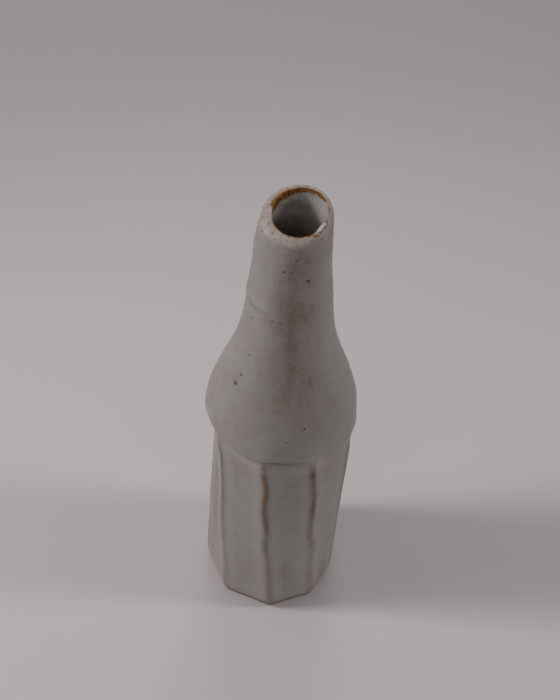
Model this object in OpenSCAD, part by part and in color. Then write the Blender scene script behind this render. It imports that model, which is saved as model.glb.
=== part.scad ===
// Faceted bud vase: a stoneware body in two luted sections, under an outer coat of glaze and a liner glaze.
// Millimetres, +Z up, origin at the middle of the foot. The rim slants down towards -Y, the vase's front.

/* [Faceted body] */
// Height of the seam, where the round shoulder section stands on the faceted body
seam_h = 104; // [80:1:130]
// Number of facets cut around the body
facets = 8; // [6:1:12]
// How far the arrises between the facets lie inside the widest part of the shoulder
arris_inset = 0.3; // [0.2:0.05:2]
// Direction of the first arris, turned from +X towards +Y
arris_turn = 34; // [0:1:45]
// Height over which a facet scoops outwards below the seam
scoop_h = 6; // [4:0.5:12]
// How far the shoulder section overhangs the scooped end of a facet
ledge_step = 0.8; // [0.4:0.1:1.2]
// Thickness of the clay wall at the middle of a facet
wall_t = 3.6; // [2.5:0.1:6]

/* [Foot] */
// Thickness of the floor, up from the foot ring's underside
floor_t = 7; // [5:0.5:12]
// Height over which the wall curves in to the foot
foot_curve_h = 10; // [4:0.5:20]
// How far the wall curves in at the foot
foot_in = 1.4; // [0.4:0.1:2.5]
// Width of the foot ring, from the facets inwards
foot_ring_w = 6; // [4:0.5:10]
// Depth of the trimmed recess inside the foot ring
foot_recess = 1.2; // [0.5:0.1:3]

/* [Shoulder and neck] */
// Widest diameter of the clay, on the shoulder
shoulder_d = 56; // [46:0.5:72]
// Height of the widest part above the seam
shoulder_rise = 3; // [1:0.5:10]
// Height of the shoulder's sweep, from the widest part to the foot of the neck
sweep_h = 57; // [46:1:75]
// Length of the neck, from its foot to the middle of the rim
neck_l = 38; // [26:1:60]
// Diameter of the clay at the neck's foot
neck_d = 30.2; // [27:0.2:37]
// Diameter of the clay at the lip, before its rounding
lip_d = 26; // [21:0.2:32]
// Thickness of the clay at the lip
lip_wall = 2.7; // [2:0.1:4]
// Radius that rounds the outside of the lip
lip_r = 2.6; // [1.5:0.1:4]
// Slant of the rim, down towards the front
rim_slant = 13; // [0:1:18]
// Length of the shoulder's full, upright stretch
shoulder_pull = 16; // [6:1:24]
// Length of the neck's long sweep into the shoulder
neck_pull = 30; // [12:1:40]

/* [Glaze] */
// Thickness of the outer coat of glaze
outer_glaze_t = 0.5; // [0.3:0.05:1]
// Thickness of the liner glaze inside
liner_glaze_t = 0.4; // [0.3:0.05:1]
// Height of the bare clay left above the foot
bare_foot_h = 3; // [1:0.5:12]

/* [Hidden] */

$fn = 96;
curve_steps = 14;
arc_steps = 6;
clear = 20; // how far a cutting block runs past the clay
floor_round = 5; // rounding between the floor and the wall inside
shoulder_r = shoulder_d / 2;
facet_r = (shoulder_r - arris_inset) * cos(180 / facets);
belly_r = facet_r - wall_t;
throat_r = lip_d / 2 - lip_wall;
widest_h = seam_h + shoulder_rise;
neck_foot_h = widest_h + sweep_h;
rim_h = neck_foot_h + neck_l;
rim_top = rim_h + shoulder_r; // above every point of the slanted rim
neck_taper = (neck_d - lip_d) / 2 / neck_l;
crest_r = throat_r / cos(rim_slant) + 0.4; // the lip's flat crest, just outside the slanted mouth

// One point of a curve that leaves its first end along one pull and arrives at its last end along the other.
function sweep_point(a, b, c, d, t) =
    pow(1 - t, 3) * a + 3 * pow(1 - t, 2) * t * b + 3 * (1 - t) * t * t * c + pow(t, 3) * d;

// The sweep from an upright stretch at the shoulder to a tapering neck.
function shoulder_sweep(low_r, high_r, taper) = [
    for (i = [0 : curve_steps])
        sweep_point([low_r, widest_h], [low_r, widest_h + shoulder_pull],
                    [high_r + taper * neck_pull, neck_foot_h - neck_pull], [high_r, neck_foot_h],
                    i / curve_steps)
];

// An arc that starts upright at [r, z] and bends outwards by out over the height h.
function arc_out(r, z, out, h) = let (bend = (out * out + h * h) / (2 * out), turn = asin(h / bend)) [
    for (i = [0 : arc_steps])
        [r + bend * (1 - cos(turn * i / arc_steps)), z + bend * sin(turn * i / arc_steps)]
];

// The same arc mirrored: it curves in by out, going down over the height h.
function foot_arc(r, out, h) = let (up = arc_out(0, 0, out, h)) [
    for (i = [arc_steps : -1 : 0]) [r - up[i][0], h - up[i][1]]
];

// The round form before faceting, with its outside moved out by skin.
module thrown_form(skin) {
    rotate_extrude()
        polygon(concat([[0, 0]],
                       foot_arc(shoulder_r + skin, foot_in, foot_curve_h),
                       shoulder_sweep(shoulder_r + skin, neck_d / 2 + skin, neck_taper),
                       [[neck_d / 2 + skin - neck_taper * (rim_top - neck_foot_h), rim_top], [0, rim_top]]));
}

// What one facet takes away: everything outside its flat, up to the seam.
module facet_cutter(skin) {
    flat_r = facet_r + skin;
    ledge_r = shoulder_r + skin - ledge_step;
    far = shoulder_r + clear;
    translate([0, far, 0])
        rotate([90, 0, 0])
            linear_extrude(2 * far)
                polygon(concat([[far, -clear], [flat_r - foot_in, -clear]],
                               foot_arc(flat_r, foot_in, foot_curve_h),
                               arc_out(flat_r, seam_h - skin - scoop_h, ledge_r - flat_r, scoop_h),
                               [[far, seam_h - skin]]));
}

// Everything below the slanted, rounded lip, with its surface moved out by skin. Below the rounding it flares
// out at 45 degrees, clear of the neck.
module below_rim(skin) {
    reach = 2 * rim_h;
    translate([0, 0, rim_h])
        rotate([rim_slant, 0, 0])
            rotate_extrude()
                polygon(concat([[0, skin]],
                               [for (i = [0 : arc_steps]) let (turn = 90 - 90 * i / arc_steps)
                                   [crest_r + (lip_r + skin) * cos(turn), -lip_r + (lip_r + skin) * sin(turn)]],
                               [[crest_r + lip_r + skin + reach, -lip_r - reach], [0, -lip_r - reach]]));
}

// The round form with its slanted lip, before faceting.
module round_outside(skin) {
    intersection() {
        thrown_form(skin);
        below_rim(skin);
    }
}

// The whole outside of the vase as one solid block, with its surface moved out by skin.
module outside(skin) {
    difference() {
        round_outside(skin);
        for (i = [0 : facets - 1])
            rotate([0, 0, arris_turn + (i + 0.5) * 360 / facets])
                facet_cutter(skin);
    }
}

// The hollow inside, drawn in by skin where a coat of glaze lies on the wall.
module hollow(skin) {
    low_r = belly_r - skin;
    high_r = throat_r - skin;
    rotate_extrude()
        polygon(concat([[0, floor_t + skin]],
                       [for (i = [0 : arc_steps]) let (turn = -90 + 90 * i / arc_steps)
                           [low_r - floor_round + floor_round * cos(turn),
                            floor_t + skin + floor_round + floor_round * sin(turn)]],
                       shoulder_sweep(low_r, high_r, 0),
                       [[high_r, rim_top], [0, rim_top]]));
}

module above(z) {
    translate([-2 * shoulder_d, -2 * shoulder_d, z]) cube([4 * shoulder_d, 4 * shoulder_d, 2 * rim_top]);
}

// The lower clay section: foot, floor and eight-sided wall, up to the seam.
module faceted_body() {
    color("#6f5a4a")
        difference() {
            outside(0);
            hollow(0);
            above(seam_h);
            translate([0, 0, -clear]) cylinder(r = facet_r - foot_in - foot_ring_w, h = clear + foot_recess);
        }
}

// The upper clay section, luted on at the seam: shoulder, neck and lip.
module shoulder_and_neck() {
    color("#7b6453")
        intersection() {
            difference() {
                round_outside(0);
                hollow(0);
            }
            above(seam_h);
        }
}

// The coat of glaze over both sections, from just above the foot to the crest of the lip.
module outer_glaze() {
    color("#b4aca6")
        difference() {
            intersection() {
                outside(outer_glaze_t);
                above(bare_foot_h);
            }
            outside(0);
            hollow(0);
        }
}

// The coat of glaze poured round the inside, from the floor to the crest of the lip.
module liner_glaze() {
    color("#bcb6b2")
        intersection() {
            difference() {
                hollow(0);
                hollow(liner_glaze_t);
            }
            outside(outer_glaze_t);
        }
}

faceted_body();
shoulder_and_neck();
outer_glaze();
liner_glaze();
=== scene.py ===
"""A hand-made stoneware bud vase: eight cut facets, a round shoulder, a narrow neck and a slanted rim."""

import math
from collections import namedtuple
from functools import lru_cache

import bmesh
import bpy
from mathutils import Matrix, Vector, noise


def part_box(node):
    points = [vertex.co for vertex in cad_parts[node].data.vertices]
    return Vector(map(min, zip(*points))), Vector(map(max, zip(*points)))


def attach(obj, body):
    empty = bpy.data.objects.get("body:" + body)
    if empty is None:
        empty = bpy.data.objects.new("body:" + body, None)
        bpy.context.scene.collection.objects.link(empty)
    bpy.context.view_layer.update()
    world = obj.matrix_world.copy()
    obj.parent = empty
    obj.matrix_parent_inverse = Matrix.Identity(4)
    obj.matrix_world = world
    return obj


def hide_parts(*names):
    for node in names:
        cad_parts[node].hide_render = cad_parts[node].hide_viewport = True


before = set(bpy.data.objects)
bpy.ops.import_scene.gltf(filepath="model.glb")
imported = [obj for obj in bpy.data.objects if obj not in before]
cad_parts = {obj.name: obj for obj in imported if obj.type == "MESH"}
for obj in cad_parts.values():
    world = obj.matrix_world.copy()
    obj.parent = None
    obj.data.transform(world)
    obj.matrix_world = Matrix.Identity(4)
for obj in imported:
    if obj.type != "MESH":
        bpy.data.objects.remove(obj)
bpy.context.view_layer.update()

MM = 0.001

# Sizes from the frame, in millimetres
glaze_low, glaze_high = (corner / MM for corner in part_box("outer_glaze"))
neck_low, neck_high = (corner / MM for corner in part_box("shoulder_and_neck"))
liner_low, liner_high = (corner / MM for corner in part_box("liner_glaze"))

SEAM = neck_low.z
SHOULDER_R = (glaze_high.x - glaze_low.x) / 2
BELLY_R = (liner_high.x - liner_low.x) / 2
FLOOR = liner_low.z
BARE_FOOT = glaze_low.z
GLAZE = glaze_high.z - neck_high.z

# The thrown form, in millimetres
LINER = 0.4
FLOOR_ROUND = 5.0
FOOT_CURVE = 10.0
FOOT_IN = 1.2
WIDEST = SEAM + 3.0
NECK_FOOT = WIDEST + 57.0
NECK_R = 15.6
LIP_R = 13.5
RIM = NECK_FOOT + 38.0
THROAT_R = 9.9
LIP_ROUND = 2.4
SHOULDER_PULL = 16.0
NECK_PULL = 30.0
FOOT_RING = 6.0
RECESS = 1.2
THROWING_RING = 0.07
RINGS_APART = 5.5

# Where the thrown wall stands out from that form, and where its middle drifts to +X and to +Y, by height
SWELL = ((SEAM - 1, 1.0), (SEAM + 9, 0.8), (118, 0.4), (135, 0.0), (165, -0.2), (185, -0.7), (202, -1.2))
DRIFT_X = ((0, 0.0), (40, -0.2), (90, 0.0), (150, 0.0), (190, 0.0), (202, 0.35))
DRIFT_Y = ((0, -1.6), (35, 0.0))

# The cut facets: how far the arrises stand inside the shoulder, and how softly two flats meet at one
FACETS = 8
COLUMNS = 30 * FACETS
ARRIS_INSET = 0.3
WORN = 0.35

# The groove under the ledge, first where it is soft and then where the knife dug in: how far down the flat
# is reached, how deep the groove is, and how far down it ends. The bead is the ledge's own soft edge.
UNDERCUT = (9.0, 1.8)
GROOVE = (0.5, 0.9)
GROOVE_FOOT = (12.0, 11.0)
LEDGE_BEAD = 0.35

# The rim slants down to the front and to the left; its mouth is set off to +X and drawn in
RIM_BACK = math.tan(math.radians(15.0))
RIM_RIGHT = 0.10
MOUTH_OFF = 1.3
MOUTH_IN = 0.55

# The glaze that ran thick over the lip, and its turn; the fold in the neck, and how far it is pressed above
RUN_THICK = 0.9
RUN_TURN = 53
FOLD = 168.0
FOLD_RIDGE = 0.4
PRESSED_IN = 0.9

# Where the knife dug in under the ledge: turn from the front towards +X and half width, in degrees
DUG_IN = ((6, 31), (41, 9), (128, 34), (-150, 38))

# Each arris, at the ledge (top) and at the foot: its turn in degrees from the front towards +X, how far it
# stands out, and how much iron shows; and where the knife wandered (height, mm), left to chance if empty
Arris = namedtuple("Arris", "top_turn foot_turn top_out foot_out top_iron foot_iron wander")
ARRISES = (
    Arris(-94, -88, -2.3, 0.9, 0.5, 0.4, ()),
    Arris(-54, -42, 0.0, 0.5, 0.6, 0.3,
          ((24, 0.2), (37, -0.5), (52, -0.5), (73, 0.4), (86, -0.2), (96, -2.4), (SEAM, -7.0))),
    Arris(-11, 2, 0.0, 0.4, 1.0, 0.4,
          ((30, 0.1), (46, -0.7), (55, 0.0), (70, -0.7), (84, 0.4), (96, -0.7), (SEAM, -1.0))),
    Arris(30, 43, 0.0, 0.2, 1.0, 0.3,
          ((20, -0.8), (38, 0.1), (50, -1.2), (61, -0.6), (76, 0.2), (92, -0.5), (SEAM, -0.3))),
    Arris(72, 79, 1.5, -0.3, 0.6, 0.5, ()),
    Arris(102, 114, 1.5, -0.8, 0.7, 0.4, ()),
    Arris(153, 162, 0.0, 0.0, 0.8, 0.5, ()),
    Arris(208, 217, 0.0, 0.0, 0.8, 0.4, ()),
)
FIRST_ARRIS = math.radians(ARRISES[0].top_turn)
BLOTCH_TURN = ARRISES[3].top_turn

# Iron on the rim by turn from the front: how far it runs down the inside and out over the lip, in mm
IRON_INSIDE = (
    (-180, 1.8), (-150, 2.8), (-118, 3.2), (-100, 2.0), (-80, 1.4), (-45, 0.4), (0, 0.3), (25, 0.3),
    (38, -1.1), (62, -1.1), (70, 1.5), (80, 1.7), (90, 1.0), (100, 1.3), (112, 0.3), (130, 1.7),
    (150, 1.3), (180, 1.8),
)
IRON_OUTSIDE = (
    (-180, 0.4), (-140, 0.7), (-110, 1.0), (-95, -0.2), (-60, 0.2), (0, 0.4), (24, 0.6), (38, 1.8),
    (62, 1.6), (72, 0.3), (100, 0.0), (180, 0.4),
)


def smooth(low, high, x):
    """Rises softly from 0 at low to 1 at high."""
    t = min(max((x - low) / (high - low), 0.0), 1.0)
    return t * t * (3.0 - 2.0 * t)


def along(knots, x):
    """The value at x of a soft line through (x, value) knots in rising order."""
    if x <= knots[0][0]:
        return knots[0][1]
    for (x0, a), (x1, b) in zip(knots, knots[1:]):
        if x < x1:
            return a + (b - a) * smooth(x0, x1, x)
    return knots[-1][1]


def bump(middle, width, x):
    """A soft hump of height 1 at middle, gone at width to either side."""
    return 1.0 - smooth(0.0, width, abs(x - middle))


def noise_at(turn, z, round_size, tall_size):
    """Noise that closes on itself round the vase, from about -0.5 to 0.5; sizes in millimetres."""
    k = SHOULDER_R / round_size
    return noise.noise(Vector((math.sin(turn) * k, math.cos(turn) * k, z / tall_size)))


def sweep_point(low_r, high_r, taper, t):
    """A point of the shoulder's sweep: upright at the shoulder, tapering at the foot of the neck."""
    knots = ((low_r, WIDEST), (low_r, WIDEST + SHOULDER_PULL),
             (high_r + taper * NECK_PULL, NECK_FOOT - NECK_PULL), (high_r, NECK_FOOT))
    weights = ((1 - t) ** 3, 3 * (1 - t) ** 2 * t, 3 * (1 - t) * t * t, t ** 3)
    return tuple(sum(w * k[axis] for w, k in zip(weights, knots)) for axis in (0, 1))


def sweep_radius(low_r, high_r, taper, z):
    """The sweep's radius at height z, found by halving."""
    low, high = 0.0, 1.0
    for _ in range(24):
        middle = (low + high) / 2
        low, high = (middle, high) if sweep_point(low_r, high_r, taper, middle)[1] < z else (low, middle)
    return sweep_point(low_r, high_r, taper, low)[0]


def outer_form(z):
    """Radius of the glazed outside as it came off the wheel."""
    taper = (NECK_R - LIP_R) / (RIM - NECK_FOOT)
    if z < WIDEST:
        r = SHOULDER_R - FOOT_IN * max(0.0, 1 - z / FOOT_CURVE) ** 2
    elif z < NECK_FOOT:
        r = sweep_radius(SHOULDER_R, NECK_R, taper, z)
    else:
        r = NECK_R - taper * (z - NECK_FOOT)
    return r + along(SWELL, z)


def inner_form(z):
    """Radius of the glazed inside."""
    if z < WIDEST:
        return BELLY_R - LINER
    if z < NECK_FOOT:
        return sweep_radius(BELLY_R - LINER, THROAT_R, 0.0, z)
    return THROAT_R


@lru_cache(maxsize=None)
def form_step(form, z):
    """A form's radius at height z, looked up every tenth of a millimetre."""
    low = math.floor(z * 10)
    return look_up(form, low) + (look_up(form, low + 1) - look_up(form, low)) * (z * 10 - low)


@lru_cache(maxsize=None)
def look_up(form, tenths):
    """A form's radius at a height in tenths of a millimetre."""
    return form(tenths / 10)


def steps(start, end, spacing):
    """Even steps from start to end, about spacing apart, with both ends."""
    count = max(1, round(abs(end - start) / spacing))
    return [start + (end - start) * i / count for i in range(count + 1)]


def up_outside(start, end, spacing, skin):
    """Points (r, z, skin) up the outside, closer together at the ledge and the fold.

    skin is their depth under the glaze's surface.
    """
    heights = []
    for top, apart in ((SEAM - 16, spacing), (SEAM + 4, spacing / 2.5), (FOLD - 5, spacing),
                       (FOLD + 5, spacing / 2), (end, spacing)):
        top = min(top, end)
        if start < top:
            heights += steps(start, top, apart)[1 if heights else 0:]
            start = top
    return [(outer_form(z), z, skin) for z in heights]


def over_lip(inset, count):
    """Points over the lip, from its outside to its crest, inset deep under the surface."""
    middle = outer_form(RIM - LIP_ROUND) - LIP_ROUND
    path = []
    for i in range(1, count + 1):
        a = math.radians(90.0 * i / count)
        z = RIM - LIP_ROUND + (LIP_ROUND - inset) * math.sin(a)
        path.append((middle + LIP_ROUND * math.cos(a), z, inset * math.cos(a)))
    return path


def down_inside(start, end, spacing, out):
    """Points down the inside between two heights, moved out into the wall by out."""
    return [(inner_form(z) + out, z, 0.0) for z in steps(start, end, spacing)]


def inside_floor(out, spacing):
    """Points round the corner at the foot of the inside and in to its middle, deeper in the clay by out."""
    corner_r = BELLY_R - LINER - FLOOR_ROUND
    corner_z = FLOOR + LINER + FLOOR_ROUND
    count = 6
    path = []
    for i in range(1, count + 1):
        a = math.radians(90.0 * i / count)
        bend = FLOOR_ROUND + out
        path.append((corner_r + bend * math.cos(a), corner_z - bend * math.sin(a), 0.0))
    return path + [(r, FLOOR + LINER - out, 0.0) for r in steps(corner_r, 0, spacing)[1:]]


@lru_cache(maxsize=None)
def arris_turns(z):
    """The turn of each arris at height z, in radians: the knife wandered a little on its way down."""
    share = min(max(z / SEAM, 0.0), 1.0)
    turns = []
    for i, arris in enumerate(ARRISES):
        if arris.wander:
            off = along(((0, 0.0),) + arris.wander, z)
        else:
            off = 1.5 * noise.noise(Vector((i * 7.3, 0.5, z / 15.0)))
        turn = arris.foot_turn + (arris.top_turn - arris.foot_turn) * share
        turns.append(math.radians(turn) + off / SHOULDER_R)
    return tuple(turns)


@lru_cache(maxsize=None)
def arris_points(z):
    """The arrises in plan at height z."""
    plain_r = SHOULDER_R - ARRIS_INSET - FOOT_IN * max(0.0, 1 - z / FOOT_CURVE) ** 2
    down = min(max(1 - z / SEAM, 0.0), 1.0)
    points = []
    for turn, arris in zip(arris_turns(z), ARRISES):
        r = plain_r + arris.top_out + (arris.foot_out - arris.top_out) * down
        points.append(r * Vector((math.sin(turn), -math.cos(turn))))
    return tuple(points)


def facet_radius(turn, points):
    """Distance from the axis to the flats between the arris points, with the arrises a little worn."""
    direction = Vector((math.sin(turn), -math.cos(turn)))
    total = 0.0
    for a, b in zip(points, points[1:] + points[:1]):
        side = (b - a).normalized()
        out = Vector((side.y, -side.x))
        facing = out.dot(direction)
        if facing > 0.3:
            total += math.exp(-(a.dot(out) / facing - SHOULDER_R) / WORN)
    return SHOULDER_R - WORN * math.log(total)


def ledge_height(turn):
    """Height of the ledge's edge: the line was drawn by hand, and falls to the right and round the left."""
    slope = -3.3 * math.sin(turn) + 1.0 * math.sin(2 * turn) - 0.9 * math.sin(turn) ** 5
    return SEAM + 0.3 + slope - 3.4 * bump(-95, 42, wrapped(turn))


def follow_arrises(turn, z):
    """Moves a column to run along the arrises below the ledge, close together there, apart on the flats."""
    turns = arris_turns(z)
    place = (turn - FIRST_ARRIS) % (2 * math.pi) / (2 * math.pi / FACETS)
    k = int(place + 1e-6) % FACETS
    share = place - int(place + 1e-6)
    share -= 0.5 * math.sin(2 * math.pi * share) / (2 * math.pi)
    gap = (turns[(k + 1) % FACETS] - turns[k]) % (2 * math.pi)
    off = (turns[k] + share * gap - turn + math.pi) % (2 * math.pi) - math.pi
    return turn + off * (1 - smooth(SEAM, SEAM + 40, z))


def wrapped(turn):
    """A turn in radians as degrees from -180 to 180."""
    return math.degrees((turn + math.pi) % (2 * math.pi) - math.pi)


def dug_in(turn):
    """How far the knife dug in under the ledge, from 0 to 1."""
    return max(bump(0.0, half, wrapped(turn - math.radians(middle))) for middle, half in DUG_IN)


def crease(turn, z):
    """How far the clay stands out, in mm, where the neck was pressed in and a fold pushed up below."""
    above = z - FOLD
    pressed = PRESSED_IN * smooth(0.0, 2.5, above) * (1 - smooth(3, 24, above))
    return bump(-60, 46, wrapped(turn)) * (FOLD_RIDGE * bump(0.0, 1.8, above) - pressed)


def worked(r, z, turn, skin):
    """Where the hand work takes a point of the thrown form. skin is its depth under the glaze's surface."""
    outside = r > BELLY_R + 1.0 or r > inner_form(z) + 1.6
    turn = follow_arrises(turn, z)

    # the rows follow the ledge's own line, and the form stays where it was
    at_ledge = smooth(SEAM - 70, SEAM - 16, z) * (1 - smooth(SEAM + 5, SEAM + 45, z))
    raised = z + (ledge_height(turn) - SEAM) * at_ledge
    form = outer_form if outside else inner_form
    if abs(raised - z) > 1e-6:
        r += form_step(form, raised) - form_step(form, z)

    # facets, with a groove under the ledge where the knife stopped
    below = SEAM - z
    if outside and below > -1.5:
        ledge = outer_form(raised)
        dug = dug_in(turn)
        undercut, groove, foot = (
            soft + (sharp - soft) * dug for soft, sharp in (UNDERCUT, GROOVE, GROOVE_FOOT))
        cut = facet_radius(turn, arris_points(z)) - groove * (1 - smooth(min(undercut, 4.5), foot, below))
        r += (cut - ledge) * smooth(-0.4, undercut, below)
    r -= skin

    # the ledge's bead, and above it the throwing rings, the unevenness of the hand and the fold
    if outside:
        high = smooth(SEAM, SEAM + 6, z)
        r += LEDGE_BEAD * bump(SEAM + 1.2, 2.4, z)
        r += high * THROWING_RING * math.sin(2 * math.pi * z / RINGS_APART + turn)
        r += (0.15 + 0.35 * high) * noise_at(turn, z, 22.0, 18.0) * (1 - smooth(RIM - 8, RIM, z))
        r += crease(turn, z)

    # the lean, the mouth's own place and shape, and the slant of the rim
    x = r * math.sin(turn) + along(DRIFT_X, z)
    y = -r * math.cos(turn) + along(DRIFT_Y, z)
    inner = 1 - smooth(inner_form(z) - 0.1, inner_form(z) + 3.6, r)
    x += MOUTH_OFF * inner * smooth(RIM - 34, RIM - 2, z)
    pressed = MOUTH_IN * inner * smooth(RIM - 18, RIM - 3, z)
    pressed += RUN_THICK * bump(RUN_TURN, 26, wrapped(turn)) * inner * smooth(RIM - 11, RIM - 2, z)
    x, y = x - pressed * math.sin(turn), y + pressed * math.cos(turn)
    z = raised + smooth(NECK_FOOT - 6, RIM, z) * (RIM_BACK * y + RIM_RIGHT * x)
    return Vector((x, y, z))


def marks(r, z, turn):
    """What the glazes read at a point: millimetres from the arris, the ledge and the crest, and shares."""
    turn = follow_arrises(turn, z)
    turns = arris_turns(z)
    apart = [abs((turn - a + math.pi) % (2 * math.pi) - math.pi) for a in turns]
    nearest = apart.index(min(apart))
    degrees = wrapped(turn)
    middle = outer_form(RIM - LIP_ROUND) - LIP_ROUND
    if r < middle:
        crest = middle - r + RIM - z
    elif z > RIM - LIP_ROUND:
        crest = -LIP_ROUND * math.atan2(r - middle, z - RIM + LIP_ROUND)
    else:
        crest = -LIP_ROUND * math.pi / 2 - (RIM - LIP_ROUND - z)
    arris = ARRISES[nearest]
    more_iron = (arris.top_iron - arris.foot_iron) * smooth(SEAM * 0.25, SEAM * 0.65, z)
    return {
        "from_arris": SHOULDER_R * apart[nearest] + max(0.0, z - SEAM + 8) * 0.3,
        "arris_iron": arris.foot_iron + more_iron,
        "from_ledge": z - SEAM,
        "from_crest": crest,
        "iron_inside": along(IRON_INSIDE, degrees),
        "iron_outside": along(IRON_OUTSIDE, degrees),
        "white_run": smooth(0.1, 0.6, bump(RUN_TURN, 24, degrees)) * (1 - smooth(3.0, 11.0, crest)),
        "front": bump(14, 50, degrees),
        # painted light: the inside's right side, where the left lamp shines in
        "lit_inner_side": bump(118, 70, degrees),
        # painted shade: the groove under the ledge, where the knife dug in
        "groove_shade": dug_in(turn) * bump(SEAM - 3.8, 3.0, z),
        # painted shade: just under the ridge of the fold in the neck
        "fold_shade": bump(-64, 48, degrees) * bump(FOLD - 1.4, 1.4, z),
        "blotch": bump(BLOTCH_TURN, 4.0, degrees) * bump(SEAM - 11, 5.0, z),
        "flat": smooth(2.0, 8.0, SHOULDER_R * apart[nearest]) * (1 - smooth(SEAM - 14, SEAM - 4, z)),
    }


def thrown(name, path, closed):
    """Spins a path of (r, z, skin) points round the axis, works it by hand, and returns the new piece."""
    bm = bmesh.new()
    depth = bm.verts.layers.float.new("depth")
    layers = {mark: bm.verts.layers.float.new(mark) for mark in marks(THROAT_R, RIM, 0.0)}
    verts = []
    for r, z, skin in path:
        vert = bm.verts.new((r, 0.0, z))
        vert[depth] = skin
        verts.append(vert)
    for a, b in zip(verts, verts[1:]):
        bm.edges.new((a, b))
    if closed:
        bm.edges.new((verts[-1], verts[0]))
    bmesh.ops.spin(bm, geom=bm.verts[:] + bm.edges[:], cent=(0, 0, 0), axis=(0, 0, 1), dvec=(0, 0, 0),
                   angle=2 * math.pi, steps=COLUMNS, use_merge=True, use_duplicate=False)
    bmesh.ops.rotate(bm, verts=bm.verts, cent=(0, 0, 0),
                     matrix=Matrix.Rotation(FIRST_ARRIS - math.pi / 2, 3, "Z"))
    poles = [vert for vert in bm.verts if math.hypot(vert.co.x, vert.co.y) < 0.001]
    bmesh.ops.remove_doubles(bm, verts=poles, dist=0.001)
    for vert in bm.verts:
        x, y, z = vert.co
        if math.hypot(x, y) > 0.01:
            vert.co = worked(math.hypot(x, y), z, math.atan2(x, -y), vert[depth])
            for mark, value in marks(math.hypot(x, y), z, math.atan2(x, -y)).items():
                vert[layers[mark]] = value
        vert.co *= MM
    bmesh.ops.recalc_face_normals(bm, faces=bm.faces)
    mesh = bpy.data.meshes.new(name)
    bm.to_mesh(mesh)
    bm.free()
    mesh.polygons.foreach_set("use_smooth", [True] * len(mesh.polygons))
    mesh.set_sharp_from_angle(angle=math.radians(50))
    piece = bpy.data.objects.new(name, mesh)
    bpy.context.collection.objects.link(piece)
    return piece


def make_glaze_coat():
    """The matt glaze: up the outside from the bare foot, over the lip and just down into the throat."""
    front = [(outer_form(BARE_FOOT), BARE_FOOT, 0.3)]
    front += up_outside(BARE_FOOT + 0.3, RIM - LIP_ROUND, 1.3, 0.0) + over_lip(0.0, 12)
    front += [(THROAT_R + 0.15, RIM - 0.25, 0.0), (THROAT_R, RIM - 1.0, 0.0)]
    back = up_outside(BARE_FOOT, RIM - LIP_ROUND, 2.6, GLAZE) + over_lip(GLAZE, 6)
    back += [(THROAT_R + GLAZE, RIM - 1.0, 0.0)]
    return thrown("glaze_coat", front + back[::-1], closed=True)


def make_liner_coat():
    """The liner glaze: a thin closed coat all over the inside."""
    back = down_inside(RIM - 1.0, FLOOR + LINER + FLOOR_ROUND, 2.5, LINER) + inside_floor(LINER, 4)
    front = down_inside(RIM - 1.0, FLOOR + LINER + FLOOR_ROUND, 2.0, 0.0) + inside_floor(0.0, 4)
    return thrown("liner_coat", back[::-1] + front, closed=False)


def make_clay_body():
    """The bare clay of the lower section, from the foot's recess to the seam."""
    ring = outer_form(0) - GLAZE - FOOT_RING
    under = [(r, RECESS, 0.0) for r in steps(0, ring - 0.6, 4)]
    under += [(ring - 0.2, RECESS - 0.2, 0.0), (ring, RECESS - 0.5, 0.0)]
    under += [(ring + 0.2, 0.2, 0.0), (ring + 0.6, 0.0, 0.0)]
    under += [(outer_form(0) - inward, z, GLAZE) for inward, z in ((1.4, 0.0), (0.6, 0.15), (0.1, 0.6))]
    up = up_outside(1.0, SEAM, 2.0, GLAZE)
    down = down_inside(SEAM, FLOOR + LINER + FLOOR_ROUND, 4.0, LINER) + inside_floor(LINER, 4)
    return thrown("clay_body", under + up + down, closed=False)


def make_clay_neck():
    """The clay of the shoulder and neck, from the seam over the lip and down inside."""
    up = up_outside(SEAM, RIM - LIP_ROUND, 2.5, GLAZE) + over_lip(GLAZE, 5)
    down = down_inside(RIM - 1.0, SEAM, 3.0, LINER)
    return thrown("clay_neck", up + down, closed=True)


def linear(hex_colour):
    """An sRGB hex colour as linear red, green, blue and alpha."""
    parts = [int(hex_colour[i:i + 2], 16) / 255 for i in (1, 3, 5)]
    return tuple(c / 12.92 if c <= 0.04045 else ((c + 0.055) / 1.055) ** 2.4 for c in parts) + (1.0,)


def add(tree, kind, sockets, output=0, **settings):
    """Adds a node with its settings and links, and returns one of its outputs.

    A socket is given a value, or another node's output to link from.
    """
    made = tree.nodes.new("ShaderNode" + kind)
    for name, value in settings.items():
        setattr(made, name, value)
    for key, value in sockets.items():
        if isinstance(value, bpy.types.NodeSocket):
            tree.links.new(value, made.inputs[key])
        else:
            made.inputs[key].default_value = value
    return made.outputs[output]


def new_material(name, *wanted):
    """A new material, with its places in millimetres and the wanted marks as outputs to link from."""
    material = bpy.data.materials.new(name)
    material.use_nodes = True
    tree = material.node_tree
    coords = add(tree, "TexCoord", {}, "Object")
    place = add(tree, "VectorMath", {0: coords, "Scale": 1 / MM}, operation="SCALE")
    at = {mark: add(tree, "Attribute", {}, "Fac", attribute_name=mark) for mark in wanted}
    return material, tree, place, at


def patches(tree, place, size, none, whole, detail=2.0):
    """Soft patches of a size in millimetres, whose noise is cut between two levels."""
    level = add(tree, "TexNoise", {"Vector": place, "Scale": 1 / size, "Detail": detail, "Roughness": 0.6})
    return add(tree, "MapRange", {"Value": level, "From Min": none, "From Max": whole},
               interpolation_type="SMOOTHSTEP")


def lay(tree, under, colour, strength, *where):
    """Lays a hex colour over what is under it, at a strength, where all the shares meet."""
    for share in where:
        strength = add(tree, "Math", {0: share, 1: strength}, operation="MULTIPLY")
    return add(tree, "Mix", {0: strength, 6: under, 7: linear(colour)}, 2, data_type="RGBA")


# How strongly both glazes bend light, and the size in millimetres of the cells that the pepper falls in
GLAZE_IOR = 1.5
PEPPER_APART = 3.4

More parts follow.
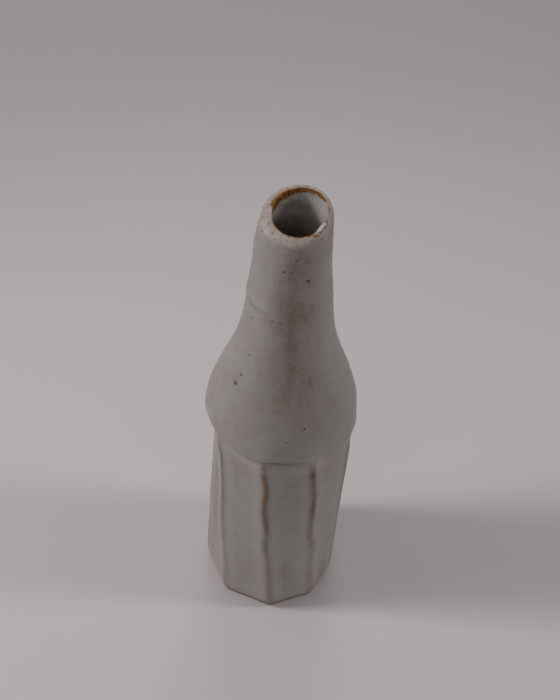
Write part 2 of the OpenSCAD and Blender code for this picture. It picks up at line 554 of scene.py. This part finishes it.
# Iron spots that burst through the glaze: turn in degrees from the front, height and radius in millimetres
IRON_SPOTS = (
    (25, 185, 0.75), (5, 195, 0.4), (-10, 190, 0.5), (0, 190, 0.3), (-15, 185, 0.3), (45, 200, 0.45),
    (-65, 200, 0.4), (-55, 160, 0.5), (-20, 165, 0.35), (-10, 165, 0.4), (15, 165, 0.35), (5, 140, 0.35),
    (-45, 145, 0.4), (-45, 135, 0.5), (-45, 130, 0.8), (25, 120, 0.5), (15, 115, 0.35),
)


def iron_spots(tree, place):
    """The distance to the nearest iron spot, in its own radii."""
    near = 10.0
    for turn, z, size in IRON_SPOTS:
        middle = worked(outer_form(z), z, math.radians(turn), 0.0)
        away = add(tree, "VectorMath", {0: place, 1: middle}, "Value", operation="DISTANCE")
        away = add(tree, "Math", {0: away, 1: size}, operation="DIVIDE")
        near = add(tree, "Math", {0: away, 1: near}, operation="MINIMUM")
    return near


def rim_iron(tree, place, at, colour):
    """Lays on the iron that broke through at the crest, ragged towards the throat, and the white run.

    Returns the colour, and the iron's share.
    """
    ragged = add(tree, "TexNoise", {"Vector": place, "Scale": 1.1, "Detail": 4.0, "Roughness": 0.7})
    wander = add(tree, "Math", {0: ragged, 1: 4.0, 2: -2.0}, operation="MULTIPLY_ADD")
    deep = add(tree, "Math", {0: at["iron_inside"], 1: wander}, operation="ADD")
    deep = add(tree, "Math", {0: deep, 1: at["from_crest"]}, operation="SUBTRACT")
    out = add(tree, "Math", {0: wander, 1: 0.5, 2: at["iron_outside"]}, operation="MULTIPLY_ADD")
    out = add(tree, "Math", {0: out, 1: at["from_crest"]}, operation="ADD")
    from_edge = add(tree, "Math", {0: deep, 1: out}, operation="MINIMUM")
    # each share rises softly from 0, at a value where there is none, to 1
    band, body, heart, run = (
        add(tree, "MapRange", {"Value": value, "From Min": none, "From Max": whole},
            interpolation_type="SMOOTHSTEP")
        for value, none, whole in (
            (from_edge, -0.15, 0.12),
            (from_edge, 0.0, 0.35),
            (from_edge, 0.3, 1.2),
            (at["from_crest"], -2.2, -0.6)))
    colour = lay(tree, colour, "#eae4e3", 0.9, run, at["white_run"])
    colour = lay(tree, colour, "#a67a3c", 0.9, band)
    colour = lay(tree, colour, "#925301", 1.0, body, patches(tree, place, 1.6, 0.30, 0.48, 3.0))
    colour = lay(tree, colour, "#3b2003", 0.85, heart, patches(tree, place, 1.3, 0.46, 0.58, 3.0))
    return colour, band


def matt_glaze():
    """Matt stoneware glaze, poured over and fired: a stony grey skin with no shine to speak of.

    It clouds where it lay thick, thins to warm brown down the neck, and iron breaks through at every edge.
    """
    material, tree, place, at = new_material(
        "matt stoneware glaze", "from_arris", "arris_iron", "from_ledge", "from_crest", "iron_inside",
        "iron_outside", "white_run", "front", "groove_shade", "fold_shade", "blotch", "flat")
    shader = tree.nodes["Principled BSDF"]
    z = add(tree, "SeparateXYZ", {0: place}, "Z")
    streaks = add(tree, "VectorMath", {0: place, 1: (1.0, 1.0, 0.4)}, operation="MULTIPLY")
    fray = add(tree, "Math", {0: patches(tree, place, 5.0, 0.3, 0.7), 1: 2.6, 2: at["from_crest"]},
               operation="MULTIPLY_ADD")
    ragged = patches(tree, place, 0.5, 0.3, 0.7)
    from_spot = add(tree, "Math", {0: ragged, 1: 0.5, 2: iron_spots(tree, place)}, operation="MULTIPLY_ADD")
    cells = add(tree, "TexVoronoi", {"Vector": place, "Scale": 1 / PEPPER_APART}).node.outputs
    chance, size = add(tree, "SeparateColor", {0: cells["Color"]}).node.outputs[:2]
    size = add(tree, "Math", {0: size, 1: 0.07, 2: 0.05}, operation="MULTIPLY_ADD")
    off_pepper = add(tree, "Math", {0: cells["Distance"], 1: size}, operation="SUBTRACT")

    # each share rises softly from 0, at a value where there is none, to 1
    share = {
        name: add(tree, "MapRange", {"Value": value, "From Min": none, "From Max": whole},
                  interpolation_type="SMOOTHSTEP")
        for name, value, none, whole in (
            ("above_shoulder", z, 112.0, 140.0),
            ("below_lip", z, 200.0, 190.0),
            ("lip", fray, -4.6, 0.4),
            ("not_inside", at["from_crest"], 2.5, 0.5),
            ("halo", at["from_arris"], 3.2, 0.5),
            ("line", at["from_arris"], 1.7, 0.2),
            ("beside", at["from_arris"], 1.6, 3.0),
            ("not_far", at["from_arris"], 8.0, 3.5),
            ("below_ledge", at["from_ledge"], -4.0, -9.0),
            ("rusty", z, 38.0, 75.0),
            # painted shade in the groove under the ledge
            ("groove_shade", at["groove_shade"], 0.15, 0.8),
            # painted highlight: the band 5.5 to 13 mm below the ledge, where the tops of the flats face up
            # to the light
            ("lit_strip_low", at["from_ledge"], -13.0, -9.5),
            ("lit_strip_high", at["from_ledge"], -5.5, -8.0),
            ("spots", from_spot, 1.45, 1.0),
            ("kept", chance, 0.80, 0.82),
            ("pepper", off_pepper, 0.05, -0.02),
            ("foot", z, 6.5, 2.8),
        )}
    thin = (at["front"], share["above_shoulder"], share["below_lip"])
    lip = (share["lip"], share["not_inside"])

    # grey with a breath of pink, going greenish where it pooled on the flats
    colour = lay(tree, linear("#a9a29f"), "#a49b97", 1.0, patches(tree, place, 16.0, 0.40, 0.62))
    pooled = add(tree, "Math", {0: at["flat"], 1: 0.3, 2: 0.05}, operation="MULTIPLY_ADD")
    colour = lay(tree, colour, "#a0a39e", pooled, patches(tree, place, 20.0, 0.42, 0.58))
    colour = lay(tree, colour, "#94836f", 0.5, at["flat"], patches(tree, place, 17.0, 0.50, 0.66))

    # thin warm patches down the front of the neck, and fine mottling, 1 to 3 mm
    colour = lay(tree, colour, "#897461", 0.35, *thin)
    colour = lay(tree, colour, "#7f6854", 0.60, *thin, patches(tree, streaks, 6.0, 0.44, 0.66, 4.0))
    colour = lay(tree, colour, "#7a5a3a", 0.6, *thin, patches(tree, place, 0.8, 0.60, 0.68))
    colour = lay(tree, colour, "#8d8682", 0.24, patches(tree, place, 2.6, 0.48, 0.66, 4.0))
    colour = lay(tree, colour, "#b9b1ad", 0.22, patches(tree, place, 1.2, 0.52, 0.70, 3.0))

    # pale pinkish lip with orange freckles
    colour = lay(tree, colour, "#ccbab1", 0.35, *lip)
    colour = lay(tree, colour, "#d4c2b8", 0.5, *lip, patches(tree, place, 1.8, 0.36, 0.60, 3.0))
    colour = lay(tree, colour, "#a5652a", 0.8, *lip, patches(tree, place, 1.1, 0.58, 0.66))

    # iron through the arrises, thick pale glaze beside them, painted highlight on the strip along the tops
    # of the flats that faces up to the light, painted shade in the groove under the ledge and painted shade
    # under the fold
    uneven = add(tree, "Math", {0: patches(tree, place, 7.0, 0.30, 0.62, 3.0), 1: 0.5, 2: 0.45},
                 operation="MULTIPLY_ADD")
    iron = add(tree, "Math", {0: uneven, 1: at["arris_iron"]}, operation="MULTIPLY")
    colour = lay(tree, colour, "#bab6b1", 0.3, share["beside"], share["not_far"])
    colour = lay(tree, colour, "#7c6d5d", 0.45, share["halo"], iron, share["below_ledge"])
    colour = lay(tree, colour, "#74634f", 0.7, share["line"], iron, share["below_ledge"])
    colour = lay(tree, colour, "#7f5129", 0.8, share["line"], iron, share["below_ledge"], share["rusty"])
    colour = lay(tree, colour, "#4d2f12", 0.95, at["blotch"], patches(tree, place, 1.6, 0.30, 0.50))
    # painted highlight: lighter on the strip below the ledge that faces up to the light
    colour = lay(tree, colour, "#c0bab5", 0.30, share["lit_strip_low"], share["lit_strip_high"])
    # painted shade: darker in the groove under the ledge, where the knife dug in
    colour = lay(tree, colour, "#5e4d3e", 0.75, share["groove_shade"], patches(tree, place, 3.0, 0.25, 0.45))
    # painted shade: darker just under the pushed-up fold in the neck
    colour = lay(tree, colour, "#766a5e", 0.5, at["fold_shade"])

    # iron spots: the larger ones, and pepper in about every fifth cell
    colour = lay(tree, colour, "#63513f", 0.6, share["kept"], share["pepper"])
    colour = lay(tree, colour, "#4b3a28", 0.85, share["spots"])

    # browner where the glaze thins above the foot, and the iron at the crest
    colour = lay(tree, colour, "#7d6f62", 0.45, share["foot"])
    colour, band = rim_iron(tree, place, at, colour)
    tree.links.new(colour, shader.inputs["Base Color"])
    rough = add(tree, "Math", {0: patches(tree, place, 6.0, 0.3, 0.7), 1: 0.14, 2: 0.46},
                operation="MULTIPLY_ADD")
    rough = add(tree, "Math", {0: band, 1: -0.10, 2: rough}, operation="MULTIPLY_ADD")
    tree.links.new(rough, shader.inputs["Roughness"])
    shader.inputs["IOR"].default_value = GLAZE_IOR

    # the skin: a fine stony tooth, soft swells a few millimetres across, and pits at the spots
    tooth = add(tree, "TexNoise", {"Vector": place, "Scale": 1 / 0.7, "Detail": 3.0, "Roughness": 0.6})
    swell = add(tree, "TexNoise", {"Vector": place, "Scale": 1 / 4.5, "Detail": 1.0})
    height = add(tree, "Math", {0: swell, 1: 4.0, 2: tooth}, operation="MULTIPLY_ADD")
    height = add(tree, "Math", {0: share["spots"], 1: -0.8, 2: height}, operation="MULTIPLY_ADD")
    skin = add(tree, "Bump", {"Height": height, "Strength": 0.5, "Distance": 0.1 * MM})
    tree.links.new(skin, shader.inputs["Normal"])
    return material


def liner_glaze():
    """The same glaze poured inside and out again: paler and smoother, with painted shade down the throat and
    painted light on its right side.
    """
    material, tree, place, at = new_material(
        "poured liner glaze", "from_crest", "iron_inside", "iron_outside", "white_run", "lit_inner_side")
    shader = tree.nodes["Principled BSDF"]
    cells = add(tree, "TexVoronoi", {"Vector": place, "Scale": 1 / 4.0}).node.outputs
    chance = add(tree, "SeparateColor", {0: cells["Color"]})
    # each share rises softly from 0, at a value where there is none, to 1
    throat_shade, deep, kept, pepper = (
        add(tree, "MapRange", {"Value": value, "From Min": none, "From Max": whole},
            interpolation_type="SMOOTHSTEP")
        for value, none, whole in (
            # painted shade down the throat, and darker still deep in it
            (at["from_crest"], 4.0, 20.0),
            (at["from_crest"], 14.0, 44.0),
            (chance, 0.72, 0.74),
            (cells["Distance"], 0.12, 0.06)))
    colour = lay(tree, linear("#c2bab9"), "#a1978f", 1.0, patches(tree, place, 5.0, 0.40, 0.62, 3.0))
    # painted shade: darker from a few millimetres below the crest on down the throat
    colour = lay(tree, colour, "#675c52", 0.75, throat_shade)
    # painted light: paler on the inside's right side, where the left lamp shines in
    colour = lay(tree, colour, "#cfc8c6", 0.75, at["lit_inner_side"])
    # painted shade: nearly black deep in the throat
    colour = lay(tree, colour, "#2b241f", 1.0, deep)
    colour = lay(tree, colour, "#6b5844", 0.8, kept, pepper)
    colour, _ = rim_iron(tree, place, at, colour)
    tree.links.new(colour, shader.inputs["Base Color"])
    shader.inputs["Roughness"].default_value = 0.42
    shader.inputs["IOR"].default_value = GLAZE_IOR
    swell = add(tree, "TexNoise", {"Vector": place, "Scale": 1 / 3.0, "Detail": 2.0})
    skin = add(tree, "Bump", {"Height": swell, "Strength": 0.4, "Distance": 0.2 * MM})
    tree.links.new(skin, shader.inputs["Normal"])
    return material


def stoneware():
    """Fired stoneware clay, unglazed: warm buff brown, dry to the eye, with sand grog and iron flecks."""
    material, tree, place, _ = new_material("fired stoneware clay")
    shader = tree.nodes["Principled BSDF"]
    colour = lay(tree, linear("#877565"), "#786756", 1.0, patches(tree, place, 9.0, 0.35, 0.65))
    colour = lay(tree, colour, "#a8927e", 0.6, patches(tree, place, 0.8, 0.55, 0.68, 3.0))
    colour = lay(tree, colour, "#4d3829", 1.0, patches(tree, place, 1.1, 0.66, 0.72))
    tree.links.new(colour, shader.inputs["Base Color"])
    shader.inputs["Roughness"].default_value = 0.88
    grog = add(tree, "TexNoise", {"Vector": place, "Scale": 1 / 0.6, "Detail": 4.0, "Roughness": 0.7})
    skin = add(tree, "Bump", {"Height": grog, "Strength": 0.7, "Distance": 0.2 * MM})
    tree.links.new(skin, shader.inputs["Normal"])
    return material


def floor_paper():
    """Matt background paper: one even pale tone, with nothing on it to catch the eye."""
    material = bpy.data.materials.new("background paper")
    material.use_nodes = True
    shader = material.node_tree.nodes["Principled BSDF"]
    shader.inputs["Base Color"].default_value = linear("#e3dcdd")
    shader.inputs["Roughness"].default_value = 0.95
    return material


clay = stoneware()
for piece, material, replaced, slot in (
        (make_clay_body(), clay, "faceted_body", "stoneware"),
        (make_clay_neck(), clay, "shoulder_and_neck", "stoneware"),
        (make_glaze_coat(), matt_glaze(), "outer_glaze", "matt_glaze"),
        (make_liner_coat(), liner_glaze(), "liner_glaze", "liner_glaze")):
    piece.data.materials.append(material)
    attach(piece, "root")
    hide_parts(replaced)

# Floor, light and camera
FLOOR_REACH = 2.0
ROOM_LIGHT = 0.18
bm = bmesh.new()
bmesh.ops.create_grid(bm, x_segments=1, y_segments=1, size=FLOOR_REACH)
mesh = bpy.data.meshes.new("floor")
bm.to_mesh(mesh)
bm.free()
floor = bpy.data.objects.new("floor", mesh)
bpy.context.collection.objects.link(floor)
floor.data.materials.append(floor_paper())


def lamp(name, kind, place, power, size, cone=None):
    """A studio lamp aimed low at the vase: a softbox, or a spot whose cone fades softly to its edge."""
    light = bpy.data.lights.new(name, kind)
    light.energy = power
    if kind == "SPOT":
        light.spot_size = math.radians(cone)
        light.spot_blend = 1.0
        light.shadow_soft_size = size
    else:
        light.shape = "RECTANGLE"
        light.size, light.size_y = size
    placed = bpy.data.objects.new(name, light)
    placed.location = place
    placed.rotation_euler = (Vector((0, 0, 0.05)) - Vector(place)).to_track_quat("-Z", "Y").to_euler()
    bpy.context.collection.objects.link(placed)


lamp("left spot", "SPOT", (-1.1, -0.06, 0.9), 19.0, 0.13, 34)
lamp("left softbox", "AREA", (-1.1, -0.12, 0.6), 2.3, (0.4, 0.4))
lamp("front fill", "AREA", (-0.5, -1.1, 0.8), 0.5, (0.6, 0.6))
lamp("right spot", "SPOT", (1.1, 0.0, 0.9), 7.3, 0.13, 36)
lamp("right fill", "SPOT", (1.1, 0.0, 0.65), 4.5, 0.13, 70)
lamp("back softbox", "AREA", (0.0, 1.2, 0.9), 2.5, (0.8, 0.5))

world = bpy.data.worlds.new("room")
bpy.context.scene.world = world
world.use_nodes = True
background = world.node_tree.nodes["Background"]
background.inputs["Color"].default_value = (1.0, 1.0, 1.0, 1.0)
background.inputs["Strength"].default_value = ROOM_LIGHT

LOOK_DOWN = math.radians(47.0)
ROLL = math.radians(3.92)
DISTANCE = 435.2
AIM = Vector((-2.0, 0.0, 134.9))
forward = Vector((0, math.cos(LOOK_DOWN), -math.sin(LOOK_DOWN)))
right = Vector((1, 0, 0))
up = right.cross(forward)
turned_right = right * math.cos(ROLL) + up * math.sin(ROLL)
turned_up = -right * math.sin(ROLL) + up * math.cos(ROLL)
camera = bpy.data.objects.new("camera", bpy.data.cameras.new("camera"))
bpy.context.collection.objects.link(camera)
camera.data.lens = 60.0
camera.data.sensor_width = 36.0
camera.matrix_world = Matrix.Translation((AIM - forward * DISTANCE) * MM) @ Matrix(
    (turned_right, turned_up, -forward)).transposed().to_4x4()
bpy.context.scene.camera = camera
bpy.context.scene.view_settings.view_transform = "Standard"
